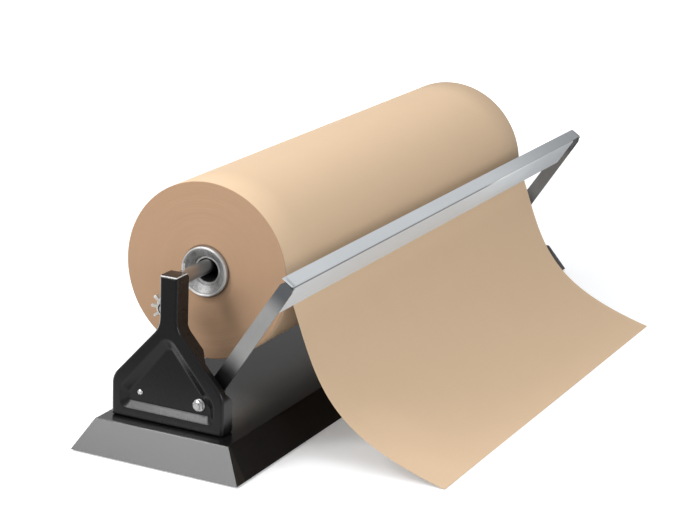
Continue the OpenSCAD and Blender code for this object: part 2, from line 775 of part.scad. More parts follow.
// Rivets behind the pivots; each spring's rear leg pushes up under one
module spring_anchors() {
    head_r = anchor_d / 2 + 0.8;
    head_h = 1.8;
    color("#c4c4c4") both() {
        rod(-recess_floor_x - head_h, -recess_floor_x, anchor_y, pivot_z, head_r);
        rod(-recess_floor_x, -recess_inside_x, anchor_y, pivot_z, anchor_d / 2 - 0.5 - fit);
        rod(-recess_inside_x, -recess_inside_x + anchor_len, anchor_y, pivot_z, anchor_d / 2);
    }
}

// ---- Paper sheet ----

function curve(t) =
    pow(1 - t, 3) * sheet_start + 3 * pow(1 - t, 2) * t * sheet_hang
    + 3 * (1 - t) * t * t * sheet_turn + pow(t, 3) * sheet_end;

function curve_side(t) =
    let (step = 0.001, along = unit(curve(min(t + step, 1)) - curve(max(t - step, 0))))
    [-along[1], along[0]];

// The drawn-off paper, from the front of the roll under the cutter to its free end
module paper_sheet() {
    steps = [for (i = [0:sheet_steps]) i / sheet_steps];
    color("#d2b48c") slab(roll_left, roll_right) polygon(concat(
        [for (t = steps) curve(t) + curve_side(t) * sheet_t / 2],
        [for (i = [sheet_steps:-1:0]) curve(steps[i]) - curve_side(steps[i]) * sheet_t / 2]));
}

base_pan();
base_stiffener();
rubber_feet();
left_stand();
right_stand();
stand_bolts();
stand_nuts();
left_saddle();
right_saddle();
shaft();
shaft_pins();
keeper_studs();
left_keeper();
right_keeper();
left_keeper_knob();
right_keeper_knob();
paper_roll();
core_tube();
left_core_plug();
right_core_plug();
left_arm();
right_arm();
cutter_bar();
arm_rivets();
pivot_bolts();
pivot_nuts();
pivot_bushes();
left_spring();
right_spring();
spring_anchors();
paper_sheet();
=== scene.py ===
import math
import random

import bmesh
import bpy
from mathutils import Matrix, Vector
from mathutils.geometry import tessellate_polygon


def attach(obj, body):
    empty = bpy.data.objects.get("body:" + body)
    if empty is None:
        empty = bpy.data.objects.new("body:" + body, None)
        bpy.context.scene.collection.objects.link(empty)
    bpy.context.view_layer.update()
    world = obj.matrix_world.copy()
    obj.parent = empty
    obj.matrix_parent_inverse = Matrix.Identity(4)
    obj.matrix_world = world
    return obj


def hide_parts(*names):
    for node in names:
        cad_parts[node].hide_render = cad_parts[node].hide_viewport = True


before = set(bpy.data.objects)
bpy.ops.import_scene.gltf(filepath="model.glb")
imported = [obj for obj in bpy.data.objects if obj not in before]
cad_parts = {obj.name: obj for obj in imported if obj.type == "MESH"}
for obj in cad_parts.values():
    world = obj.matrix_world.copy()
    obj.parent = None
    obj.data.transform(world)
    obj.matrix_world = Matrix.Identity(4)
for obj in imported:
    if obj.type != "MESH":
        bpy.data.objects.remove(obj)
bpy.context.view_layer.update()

bl_info = {
    "name": "Wrapping paper dispenser",
    "version": (1, 0, 0),
    "blender": (4, 5, 0),
    "location": "3D View > Sidebar > Dispenser",
    "description": "Dresses the packed dispenser and cutter with its finishes, paper and pressed parts",
    "category": "Object",
}

MM = 0.001
SIDES = {"left": -1, "right": 1}

# Sizes in millimetres, in the frame of the part's source. Most are the source's; where the scene forms a
# piece finer, its size is the scene's own and can differ.
STAND_X, RIM_X, STAND_T, STAND_FOLD = 514.5, 489.5, 1.6, 4.0
FOOT_W, POST_W, POST_TOP, SHOULDER_Z, NECK_Z, BASE_H = 159.0, 25.2, 236.0, 94.6, 169.0, 43.0
STAND_RADII = [3, 26, 30, 1.5, 1.5, 30, 26, 3]
RECESS_D, RECESS_W, RECESS_Z, RECESS_CORNER_Z, RECESS_PEAK_Z = 7.0, 133.0, 56.0, 83.0, 163.0
RECESS_SLOPE, RECESS_SIDE_SLOPE = 8.5, 11.5
RECESS_RADII = [9, 16, 14, 16, 9]
FLOOR_ROUND = 0.45
GATE_D, GATE_LOW, GATE_HIGH, GATE_LEAD = 13.5, 84.0, 142.0, 12.0
SHAFT_Z, JOURNAL_D, JOURNAL_L = 226.0, 12.1, 20.0
ROLL_D, ROLL_L, ROLL_X, ROLL_Z = 228.6, 761.0, -43.0, 220.3
CORE_OUT_R, PLUG_RIM_R, PLUG_BORE_R = 29.6, 32.5, 15.0
SHEET_T, BARE = 0.5, 0.3
PIVOT_Y, PIVOT_Z, ANCHOR_Y, ANCHOR_D = -43.0, 77.0, 42.0, 6.0
PIN_X, PIN_D, PIN_L = 477.9, 3.0, 35.0
ARM_LEAN, ARM_TIP_W, ARM_IN_X, ARM_OUT_X = math.radians(32.8), 18.0, 485.5, 488.5
BAR_T, BAR_TOP, BAR_TOP_W, BAR_FRONT_W, BAR_FRONT_Q, BAR_FOLD_R = 1.5, 200.8, 18.5, 46.0, 7.5, 2.2
BAR_NOTCHES = {"left": 3.0, "right": 30.0}
EAR_L, RIVET_S, RIVET_D, RIVET_HEAD = 25.0, [178.0, 190.0], 5.0, 1.6
RECESS_FLOOR_X = STAND_X - RECESS_D
KEEPER_Y, KEEPER_Z, KNOB_X, KNOB_D, KNOB_T, KNOB_PRONGS = 21.0, 184.0, 483.8, 44.0, 9.0, 10
WASHER_T, WASHER_R, NUT_FLATS, NUT_H, NUT_BORE_R = 1.6, 8.0, 12.8, 5.0, 4.05

# Where the finishes change, in metres: each pair is where a zone starts to come in and where it is full
PAN_END, DECK_END, DECK_DEPTH = (0.529, 0.535), (0.33, 0.46), (-0.09, -0.05)
# the next line sets the width of the painted highlight lines along the posts' top edges
GLINT_LINE = (0.0006, 0.001)
# where the arms' painted dark reflection round the pivot fades out, and where the arms darken towards the tip
ARM_DARK_REFLECTION, ARM_TIP_DARK = (0.056, 0.098), (0.155, 0.185)
# where the painted line on the bar's fold turns from shade to highlight, and where the bar darkens towards
# its far end
FOLD_BRIGHT, BAR_FAR_DARK = (0.12, 0.2), (0.15, 0.5)
CRISP = (0, 0.0004)
GRAIN_DEPTH = 0.0001

# The camera fitted to the photo: place in metres, yaw, pitch and roll in degrees, focal length and photo's
# width in pixels, sensor's width in millimetres
CAMERA_PLACE, CAMERA_TURN = (-2.6575, -1.2714, 0.9883), (-64.246, 16.158, 2.325)
CAMERA_FOCAL, PHOTO_WIDTH, SENSOR_WIDTH = 2142.8, 692, 36.0

# Place, target and size of each soft lamp, and half the floor's width, in metres
LAMPS = {
    "top": ((-0.2, 0.35, 2.3), (0.1, 0, 0.1), (3.0, 2.2)),
    "side": ((-2.83, 1.3, 1.55), (-0.5, 0, 0.05), (1.6, 1.2)),
    "front": ((-1.0, -2.8, 1.0), (0, 0, 0.1), (1.4, 1.2)),
    "edge": ((-1.51, 0.97, 1.76), (-0.51, 0, 0.06), (0.4, 0.4)),
}
FLOOR_REACH = 14.0


# ---- Shader sums ----

class Wire:
    """One output of a shader tree that Python sums can use."""

    def __init__(self, paint, socket):
        self.paint = paint
        self.socket = socket

    def sum(self, operation, *values):
        return self.paint.node("ShaderNodeMath", {"operation": operation}, dict(enumerate(values)))

    def __add__(self, other):
        return self.sum("ADD", self, other)

    def __sub__(self, other):
        return self.sum("SUBTRACT", self, other)

    def __rsub__(self, other):
        return self.sum("SUBTRACT", other, self)

    def __mul__(self, other):
        return self.sum("MULTIPLY", self, other)

    def __truediv__(self, other):
        return self.sum("DIVIDE", self, other)

    def __pow__(self, other):
        return self.sum("POWER", self, other)

    def __abs__(self):
        return self.sum("ABSOLUTE", self)

    __radd__ = __add__
    __rmul__ = __mul__

    def between(self, low, high):
        """0 below low, 1 above high and smooth between them."""
        inputs = {"Value": self, "From Min": low, "From Max": high}
        return self.paint.node("ShaderNodeMapRange", {"interpolation_type": "SMOOTHSTEP"}, inputs)


class Paint:
    """A material in the making, on one surface shader."""

    def __init__(self, name):
        self.material = bpy.data.materials.new(name)
        self.material.use_nodes = True
        self.tree = self.material.node_tree
        self.tree.nodes.clear()
        self.place = self.node("ShaderNodeTexCoord", {}, {}, "Object")

    def node(self, kind, settings, inputs, output=0):
        made = self.tree.nodes.new(kind)
        for key, value in settings.items():
            setattr(made, key, value)
        for key, value in inputs.items():
            if isinstance(value, Wire):
                self.tree.links.new(value.socket, made.inputs[key])
            else:
                made.inputs[key].default_value = value
        return Wire(self, made.outputs[output]) if made.outputs else None

    def axes(self):
        return [self.node("ShaderNodeSeparateXYZ", {}, {"Vector": self.place}, axis) for axis in "XYZ"]

    def stretched(self, scale):
        return self.node("ShaderNodeVectorMath", {"operation": "MULTIPLY"}, {0: self.place, 1: scale})

    def noise(self, scale, detail=3.0, rough=0.5):
        """Noise at one scale per metre, or at a scale for each axis."""
        even = isinstance(scale, (int, float))
        where = self.place if even else self.stretched(scale)
        size = scale if even else 1.0
        inputs = {"Vector": where, "Scale": size, "Detail": detail, "Roughness": rough}
        return self.node("ShaderNodeTexNoise", {}, inputs, "Fac")

    def mix(self, share, first, second):
        values = {0: share}
        for key, colour in ((6, first), (7, second)):
            values[key] = colour if isinstance(colour, Wire) else (*colour, 1)
        return self.node("ShaderNodeMix", {"data_type": "RGBA"}, values, 2)

    def bump(self, height, strength, depth):
        return self.node("ShaderNodeBump", {}, {"Height": height, "Strength": strength, "Distance": depth})

    def done(self, **surface):
        inputs = {key.replace("_", " "): value for key, value in surface.items()}
        for key, value in inputs.items():
            if isinstance(value, tuple):
                inputs[key] = (*value, 1)
        shader = self.node("ShaderNodeBsdfPrincipled", {}, inputs)
        self.node("ShaderNodeOutputMaterial", {}, {"Surface": shader})
        return self.material


# ---- Finishes ----

def scaled(colour, by):
    return tuple(c * by for c in colour)


def from_roll_axis(y, z):
    """Distance from the axis that the roll turns about."""
    up = z - ROLL_Z * MM
    return (y * y + up * up) ** 0.5


def black_enamel(name, colour, gloss, shine, painted_light=False, polished=False):
    """Sprayed gloss black over sheet steel: orange peel, faint haze and a little dust. The posts' top edges
    can carry painted highlight lines, coloured as bare metal, and the ends of the base are polished by use."""
    paint = Paint(name)
    haze = paint.noise(9, 4, 0.6)
    specks = paint.noise(900, 2, 0.5).between(0.66, 0.78)
    dull = gloss + 0.08 * haze + 0.15 * specks
    skin = paint.noise(320, 2, 0.4) + 0.4 * paint.noise(60, 2, 0.5)
    dust_and_glints = paint.mix(0.35 * haze + 0.3 * specks, colour, scaled(colour, 4.0))
    x, y, z = paint.axes()
    if painted_light:
        # painted highlight: thin light lines along the fold between each post's face and top, and along its
        # side edge
        line, edge = 0.29 * STAND_FOLD, 0.4
        along_face = ((abs(x) - (STAND_X - line) * MM) ** 2 + (z - (POST_TOP - line) * MM) ** 2) ** 0.5
        along_side = ((abs(y) - (POST_W / 2 - edge) * MM) ** 2 + (z - (POST_TOP - edge) * MM) ** 2) ** 0.5
        edge_glint = (1 - along_face.between(*GLINT_LINE)) + (1 - along_side.between(*GLINT_LINE))
        dust_and_glints = paint.mix(edge_glint * paint.noise(160, 3, 0.6).between(0.3, 0.5), dust_and_glints, (0.5, 0.49, 0.47))
    polish = 0.0
    if polished:
        on_deck = z.between((BASE_H - 0.8) * MM, (BASE_H - 0.2) * MM)
        polish = (0.5 * abs(x).between(*PAN_END)
                  + on_deck * abs(x).between(*DECK_END) * y.between(*DECK_DEPTH))
    return paint.done(Base_Color=dust_and_glints, Roughness=dull, Specular_IOR_Level=shine, Coat_Weight=polish,
                      Coat_Roughness=0.2, Normal=paint.bump(skin, 0.12, 0.0004))


def drawn_steel(name, colour, gloss, grain):
    """Bright steel with its grain drawn out along one axis; grain is the noise scale on each axis."""
    paint = Paint(name)
    lines = paint.noise(grain, 4, 0.65)
    cloud = paint.noise(14, 3, 0.6)
    shade = paint.mix(0.55 * lines + 0.45 * cloud, scaled(colour, 0.86), scaled(colour, 1.08))
    return paint.done(Base_Color=shade, Metallic=1.0, Roughness=gloss + 0.12 * cloud + 0.05 * lines,
                      Normal=paint.bump(lines, 0.25, GRAIN_DEPTH))


def arm_steel(name, colour):
    """Satin nickel on the arms, with a painted dark reflection round the pivot, and darker towards the tip.
    """
    paint = Paint(name)
    _, y, z = paint.axes()
    reach = ((y - PIVOT_Y * MM) ** 2 + (z - PIVOT_Z * MM) ** 2) ** 0.5
    grain = paint.noise((900, 900, 14), 4, 0.65)
    cloud = paint.noise(18, 3, 0.6)
    # painted reflection: the arms are painted near black round the pivot, where the stand would mirror in
    # them
    dark_reflection = 1 - (reach + 0.02 * cloud).between(*ARM_DARK_REFLECTION)
    # darker towards the tip
    toward_tip = (reach + 0.006 * cloud).between(*ARM_TIP_DARK)
    bright = paint.mix(0.5 * grain + 0.5 * cloud, scaled(colour, 0.75), scaled(colour, 1.1))
    tipped = paint.mix(0.9 * toward_tip, bright, (0.08, 0.088, 0.096))
    return paint.done(Base_Color=paint.mix(dark_reflection, tipped, (0.012, 0.012, 0.013)), Metallic=0.5,
                      Roughness=0.34 + 0.1 * cloud, Normal=paint.bump(grain, 0.12, GRAIN_DEPTH))


def bar_steel(name, colour):
    """Satin sheet of the cutter bar, with its grain along it and painted light on its front flange, brighter
    and cooler.
    A thin line along the fold is painted shade at the near end and painted highlight at the far end, where
    the sheet is darker; the ears are painted dark as shade."""
    paint = Paint(name)
    x, y, z = paint.axes()
    back, up = y - PIVOT_Y * MM, z - PIVOT_Z * MM
    along = up * math.cos(ARM_LEAN) - back * math.sin(ARM_LEAN)
    across = back * math.cos(ARM_LEAN) + up * math.sin(ARM_LEAN)
    # painted shade and highlight: a thin line along the fold, dark at the near end and bright towards the far
    # end
    in_fold = ((0.55 * BAR_FOLD_R - BAR_FRONT_Q) * MM - across).between(*CRISP)
    in_fold = in_fold * (along - (BAR_TOP - 0.95 * BAR_FOLD_R) * MM).between(*CRISP)
    front = 1 - (along - (BAR_TOP - BAR_FOLD_R) * MM).between(*CRISP)
    lines = paint.noise((3, 900, 900), 4, 0.65)
    cloud = paint.noise(11, 3, 0.6)
    plain = paint.mix(0.5 * lines + 0.5 * cloud, scaled(colour, 0.88), scaled(colour, 1.08))
    # painted light: the front flange, which faces down and gets less light, is painted brighter and cooler
    painted_light = paint.mix(front, plain, (0.7, 0.77, 0.84))
    edge = paint.mix((x + 0.06 * cloud).between(*FOLD_BRIGHT), scaled(colour, 0.3), (0.95, 0.97, 0.97))
    # darker towards the far end
    far_end = 0.7 * (x + 0.1 * cloud).between(*BAR_FAR_DARK)
    far_darkened = paint.mix(far_end, paint.mix(in_fold, painted_light, edge), scaled(colour, 0.4))
    # painted shade: the ears inside the arms are painted dark
    on_ear = abs(x).between((ARM_IN_X - BAR_T - 0.4) * MM, (ARM_IN_X - BAR_T - 0.2) * MM) * front
    shade = paint.mix(0.85 * on_ear, far_darkened, scaled(colour, 0.2))
    return paint.done(Base_Color=shade, Metallic=0.3, Roughness=0.4 + 0.12 * cloud + 0.05 * lines,
                      Normal=paint.bump(lines, 0.2, GRAIN_DEPTH))


def plated_steel(name, colour, gloss):
    """Zinc plate on small turned and pressed parts: cloudy, finely pitted."""
    paint = Paint(name)
    cloud = paint.noise(220, 4, 0.65)
    pits = paint.noise(2600, 3, 0.6)
    shade = paint.mix(cloud, scaled(colour, 0.72), scaled(colour, 1.1))
    return paint.done(Base_Color=shade, Metallic=1.0, Roughness=gloss + 0.25 * cloud,
                      Normal=paint.bump(pits + 0.6 * cloud, 0.3, GRAIN_DEPTH))


def plug_casting(name, colour):
    """Sand-cast core plug: a bright turned rim, a grainy dish and a bore painted black as shade."""
    paint = Paint(name)
    _, y, z = paint.axes()
    radius = from_roll_axis(y, z)
    grain = paint.noise(1100, 4, 0.7)
    lumps = paint.noise(160, 3, 0.55)
    rim = radius.between((PLUG_RIM_R - 4.2) * MM, (PLUG_RIM_R - 3.2) * MM)
    hub = (1 - abs(radius - (PLUG_BORE_R + 2.2) * MM).between(0.0008, 0.0016)) * (1 - rim)
    cast = paint.mix((grain + 0.4 * lumps).between(0.45, 0.95), scaled(colour, 0.3), scaled(colour, 1.0))
    turned = paint.mix(lumps, scaled(colour, 1.0), scaled(colour, 1.3))
    skin = paint.mix(rim + 0.5 * hub, cast, turned)
    # painted shade: the bore is painted near black
    bore = 1 - radius.between((PLUG_BORE_R + 0.2) * MM, (PLUG_BORE_R + 1.0) * MM)
    return paint.done(Base_Color=paint.mix(bore, skin, (0.01, 0.01, 0.01)), Metallic=0.75 * (1 - bore),
                      Roughness=0.42 - 0.14 * rim + 0.2 * lumps,
                      Normal=paint.bump((grain + lumps) * (1 - 0.8 * rim), 0.6, 0.0004))


def kraft(paint, pale, deep, along):
    """The colour and relief of kraft paper; along is the noise scale that draws its fibres out."""
    fibres = paint.noise(along, 5, 0.7)
    cloud = paint.noise(26, 4, 0.6)
    fleck = paint.noise(1500, 2, 0.5).between(0.62, 0.8)
    base = paint.mix(0.5 * fibres + 0.5 * cloud, deep, pale)
    colour = paint.mix(0.25 * fleck, base, scaled(deep, 0.6))
    return colour, fibres + 0.5 * cloud


def kraft_face(name, pale, deep, along):
    paint = Paint(name)
    colour, relief = kraft(paint, pale, deep, along)
    return paint.done(Base_Color=colour, Roughness=0.62, Specular_IOR_Level=0.3,
                      Normal=paint.bump(relief, 0.18, 0.0003))


def kraft_roll(name, pale, deep, end):
    """Paper wound on a roll: plain on its round, a stack of cut edges on its two ends, with a painted shadow
    round the plug's rim.
    """
    paint = Paint(name)
    colour, relief = kraft(paint, pale, deep, (9, 700, 700))
    x, y, z = paint.axes()
    radius = from_roll_axis(y, z)

    def rings_of(per_metre, drift, detail, rough):
        where = paint.node("ShaderNodeCombineXYZ", {}, {"X": radius * per_metre, "Y": drift})
        inputs = {"Vector": where, "Scale": 1.0, "Detail": detail, "Roughness": rough}
        return paint.node("ShaderNodeTexNoise", {}, inputs, "Fac")

    edges = rings_of(2400, paint.noise(3, 2, 0.5) * 2, 5.0, 0.7)
    bands = rings_of(190, paint.noise(2, 2, 0.5), 3.0, 0.6)
    rings = paint.mix(0.6 * edges + 0.4 * bands, scaled(end, 0.93), scaled(end, 1.07))
    # painted shadow: the paper's end darkens in a ring just outside the plug's rim
    rim_shadow = 1 - radius.between(PLUG_RIM_R * MM, (PLUG_RIM_R + 3.0) * MM)
    cut = paint.mix(0.8 * rim_shadow, rings, scaled(end, 0.12))
    out = abs(x - ROLL_X * MM)
    on_end = out.between(ROLL_L / 2 * MM - 0.0009, ROLL_L / 2 * MM - 0.0005)
    shade = paint.mix(on_end, colour, cut)
    height = relief * (1 - on_end) + 0.5 * (edges + bands) * on_end
    return paint.done(Base_Color=shade, Roughness=0.62 + 0.2 * on_end, Specular_IOR_Level=0.3,
                      Normal=paint.bump(height, 0.15, 0.0004))


def card(name, colour):
    """Spirally wound grey-brown board, with the seam of its outer ply."""
    paint = Paint(name)
    x, y, z = paint.axes()
    turn = paint.node("ShaderNodeMath", {"operation": "ARCTAN2"}, {0: z - ROLL_Z * MM, 1: y})
    pitch = 0.09
    wind = paint.node("ShaderNodeMath", {"operation": "FRACT"}, {0: x / pitch + turn / (2 * math.pi)})
    seam = 1 - abs(wind - 0.5).between(0.0, 0.02)
    pulp = paint.noise(420, 5, 0.7)
    shade = paint.mix(pulp, scaled(colour, 0.75), scaled(colour, 1.2))
    return paint.done(Base_Color=paint.mix(0.6 * seam, shade, scaled(colour, 0.5)), Roughness=0.85,
                      Normal=paint.bump(pulp - seam, 0.3, 0.0004))


def moulded_rubber(name, colour):
    paint = Paint(name)
    grain = paint.noise(1400, 3, 0.6)
    bloom = paint.noise(90, 3, 0.6)
    return paint.done(Base_Color=paint.mix(bloom, colour, scaled(colour, 1.8)), Roughness=0.7 + 0.15 * bloom,
                      Normal=paint.bump(grain, 0.25, 0.0002))


# ---- Outlines, as in the part's source ----

def unit(v):
    return v / v.length


def corner(a, b, c, r, steps):
    """The points of one corner at b, between a and c, rounded to radius r."""
    a, b, c = Vector(a), Vector(b), Vector(c)
    u, w = unit(a - b), unit(c - b)
    half = u.angle(w) / 2
    centre = b + unit(u + w) * r / math.sin(half)
    first = b + u * r / math.tan(half) - centre
    last = b + w * r / math.tan(half) - centre
    start = math.atan2(first.y, first.x)
    sweep = math.atan2(first.x * last.y - first.y * last.x, first.dot(last))
    return [centre + r * Vector((math.cos(start + sweep * i / steps), math.sin(start + sweep * i / steps)))
            for i in range(steps + 1)]


def rounded(points, radii, steps):
    n = len(points)
    return [p for i in range(n)
            for p in corner(points[i - 1], points[i], points[(i + 1) % n], radii[i], steps)]


def inner(points, radii, d, steps):
    """An outline moved inwards by d, its corners rounded about the same centres."""
    n = len(points)
    points = [Vector(p) for p in points]
    moved, kept = [], []
    for i in range(n):
        before, after = unit(points[i] - points[i - 1]), unit(points[(i + 1) % n] - points[i])
        n1, n2 = Vector((-before.y, before.x)), Vector((-after.y, after.x))
        moved.append(points[i] + d * (n1 + n2) / (1 + n1.dot(n2)))
        turn = before.x * after.y - before.y * after.x
        kept.append(max(radii[i] - d, 0.2) if turn > 0 else radii[i] + d)
    return rounded(moved, kept, steps)


# ---- Meshes ----

class Shape:
    """Points in millimetres and the faces between them."""

    def __init__(self):
        self.points = []
        self.faces = []

    def ring(self, points):
        first = len(self.points)
        self.points += [Vector(p) for p in points]
        return list(range(first, len(self.points)))

    def bridge(self, a, b, closed=True):
        n = len(a)
        for i in range(n if closed else n - 1):
            j = (i + 1) % n
            self.faces.append((a[i], a[j], b[j], b[i]))

    def tube(self, rings):
        """Rings joined one to the next, with both ends closed."""
        made = [self.ring(r) for r in rings]
        for a, b in zip(made, made[1:]):
            self.bridge(a, b)
        self.faces += [tuple(reversed(made[0])), tuple(made[-1])]

    def turned(self, profile, origin, axis, steps, closed=False):
        """A profile of (along, radius) turned about an axis; a closed profile meets itself."""
        axis = Vector(axis)
        side = axis.orthogonal().normalized()
        over = axis.cross(side)
        rings = []
        for along, radius in profile:
            rings.append(self.ring(
                Vector(origin) + axis * along
                + radius * (math.cos(t) * side + math.sin(t) * over)
                for t in (2 * math.pi * i / steps for i in range(steps))))
        for a, b in zip(rings, rings[1:]):
            self.bridge(a, b)
        if closed:
            self.bridge(rings[-1], rings[0])
        return rings

    def piece(self, name, material, body, slot, replaces, smooth, mirror=False):
        """Makes the object, in metres, and ties it to its CAD body; edges over smooth degrees stay sharp."""
        mesh = bpy.data.meshes.new(name)
        flip = -1 if mirror else 1
        mesh.from_pydata([(flip * p.x * MM, p.y * MM, p.z * MM) for p in self.points], [], self.faces)
        tool = bmesh.new()
        tool.from_mesh(mesh)
        bmesh.ops.remove_doubles(tool, verts=tool.verts, dist=1e-7)
        bmesh.ops.recalc_face_normals(tool, faces=tool.faces)
        tool.to_mesh(mesh)
        tool.free()
        mesh.shade_smooth()
        mesh.set_sharp_from_angle(angle=math.radians(smooth))
        mesh.materials.append(material)
        made = bpy.data.objects.new(name, mesh)
        bpy.context.scene.collection.objects.link(made)
        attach(made, body)
        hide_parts(*replaces)
        return made


def settle(piece):
    """Applies a piece's modifiers, then evens its normals so that large flats stay flat."""
    levelled = piece.modifiers.new("flats", "WEIGHTED_NORMAL")
    levelled.keep_sharp = True
    levelled.weight = 80
    graph = bpy.context.evaluated_depsgraph_get()
    fresh = bpy.data.meshes.new_from_object(piece.evaluated_get(graph), depsgraph=graph)
    piece.modifiers.clear()
    old, piece.data = piece.data, fresh
    bpy.data.meshes.remove(old)
    fresh.name = piece.name


def stand_skin():
    """The outer skin of the left stand: rim, fold, face, and the recess pressed into the face."""
    half, neck = FOOT_W / 2, POST_W / 2
    right = [(half, BASE_H), (half, SHOULDER_Z), (neck, NECK_Z), (neck, POST_TOP)]
    outline = right + [(-y, z) for y, z in reversed(right)]
    wide = RECESS_W / 2
    recess = [(wide, RECESS_Z), (wide, RECESS_CORNER_Z), (0, RECESS_PEAK_Z), (-wide, RECESS_CORNER_Z),
              (-wide, RECESS_Z)]
    rise = (RECESS_PEAK_Z - RECESS_CORNER_Z) / wide
    flat, low = wide - RECESS_SLOPE, RECESS_Z + RECESS_SLOPE
    peak = RECESS_PEAK_Z - RECESS_SIDE_SLOPE * math.hypot(1, rise)
    bed = [(flat, low), (flat, peak - rise * flat), (0, peak), (-flat, peak - rise * flat), (-flat, low)]
    steps, fold, soft, lead = 8, 8, 4.5, 9
    shape = Shape()

    def at(depth, points):
        return shape.ring((-STAND_X + depth, p.x, p.y) for p in points)

    rings = [at(STAND_X - RIM_X, inner(outline, STAND_RADII, 0, steps))]
    for k in range(fold + 1):
        angle = math.radians(90 * (1 - k / fold))
        rings.append(at(STAND_FOLD * (1 - math.cos(angle)),
                        inner(outline, STAND_RADII, STAND_FOLD * (1 - math.sin(angle)), steps)))
    for a, b in zip(rings, rings[1:]):
        shape.bridge(a, b)
    path = (corner((-lead, 0), (0, 0), (RECESS_SLOPE, RECESS_D), soft, 5)
            + corner((0, 0), (RECESS_SLOPE, RECESS_D), (RECESS_SLOPE + lead, RECESS_D), soft, 5))
    lip = rounded(recess, RECESS_RADII, steps)
    sole = rounded(bed, [FLOOR_ROUND * r for r in RECESS_RADII], steps)
    sunk = [at(p.y, [a.lerp(b, p.x / RECESS_SLOPE) for a, b in zip(lip, sole)]) for p in path]
    for a, b in zip(sunk, sunk[1:]):
        shape.bridge(a, b)
    shape.faces.append(tuple(sunk[-1]))
    joined = rings[-1] + sunk[0]
    loops = [[shape.points[i].yz.to_3d() for i in ring] for ring in (rings[-1], sunk[0])]
    shape.faces += [tuple(joined[i] for i in t) for t in tessellate_polygon(loops)]
    return shape


def cut_out(piece, name, outline, y0, y1):
    """Cuts a prism through a piece: an outline in X and Z, drawn from y0 to y1."""
    n = len(outline)
    mesh = bpy.data.meshes.new(name)
    faces = [tuple(range(n)), tuple(range(2 * n - 1, n - 1, -1))]
    faces += [(i, i + n, (i + 1) % n + n, (i + 1) % n) for i in range(n)]
    mesh.from_pydata([(x * MM, y * MM, z * MM) for y in (y0, y1) for x, z in outline], [], faces)
    tool = bmesh.new()
    tool.from_mesh(mesh)
    bmesh.ops.recalc_face_normals(tool, faces=tool.faces)
    tool.to_mesh(mesh)
    tool.free()
    made = bpy.data.objects.new(name, mesh)
    bpy.context.scene.collection.objects.link(made)
    cut = piece.modifiers.new(name, "BOOLEAN")
    cut.object = made
    cut.solver = "MANIFOLD"
    return made


def pressed_stand(side, material):
    """One stand as an even shell, with the gate for the arm and the slot that lets the shaft out."""
    node = f"{side}_stand"
    piece = stand_skin().piece(f"{node}_pressing", material, "base", node, [node], 40, mirror=side == "right")
    shell = piece.modifiers.new("sheet", "SOLIDIFY")
    shell.thickness = STAND_T * MM
    shell.offset = -1
    shell.use_even_offset = True
    sign, half = SIDES[side], JOURNAL_D / 2
    slot = [(1, -half), (1, half), (-JOURNAL_L - 2, half), (-JOURNAL_L - 2, -half)]
    gate = [(1, GATE_LOW), (1, GATE_HIGH), (0, GATE_HIGH), (-GATE_D, GATE_HIGH - GATE_LEAD),
            (-GATE_D, GATE_LOW + GATE_LEAD), (0, GATE_LOW)]
    tools = [cut_out(piece, "slot", [(sign * (RIM_X - x), SHAFT_Z + z) for x, z in slot],
                     POST_W / 2 - 2 * STAND_T, POST_W / 2 + STAND_T),
             cut_out(piece, "gate", [(sign * (RIM_X - x), z) for x, z in gate],
                     -FOOT_W / 2 - STAND_T, -POST_W / 2)]
    settle(piece)
    for tool in tools:
        bpy.data.objects.remove(tool)


def wound_roll(material, relief, seed):
    """The roll with its plies a little uneven at both ends."""
    draw = random.Random(seed)
    outer, half, plies, hold, edge = ROLL_D / 2, ROLL_L / 2, 150, 0.85, 0.4
    bore = CORE_OUT_R + 0.1
    ends = []
    drift = 0.0
    for i in range(plies + 1):
        drift = hold * drift + draw.uniform(-0.5, 0.5) * relief
        ends.append((bore + (outer - edge - bore) * i / plies, min(max(drift, -relief), relief) + relief))
    profile = [(-half + d, r) for r, d in ends] + [(-half + edge, outer)]
    profile += [(-half + ROLL_L * i / 12, outer) for i in range(1, 12)]
    profile += [(half - edge, outer)] + [(half - d, r) for r, d in reversed(ends)]
    shape = Shape()
    shape.turned(profile, (ROLL_X, 0, ROLL_Z), (1, 0, 0), 180, closed=True)
    shape.piece("wound_roll", material, "roll", "paper_roll", ["paper_roll"], 50)


def sheet_curve(reach):
    """Points down the middle of the drawn-off sheet, (y, z), with the sheet's flat length."""
    start = Vector((-(ROLL_D / 2 + BARE + SHEET_T / 2), ROLL_Z + 2))
    hang = Vector((-(ROLL_D / 2 + 47), start.y / 2 - 3))
    turn = Vector((-(ROLL_D / 2 + 49), start.y / 5 + 1))
    end = Vector((-reach, SHEET_T / 2 + BARE))
    steps = 72
    points = []
    for i in range(steps + 1):
        t = i / steps
        points.append((1 - t) ** 3 * start + 3 * (1 - t) ** 2 * t * hang
                      + 3 * (1 - t) * t * t * turn + t ** 3 * end)
    return points, sum((b - a).length for a, b in zip(points, points[1:]))


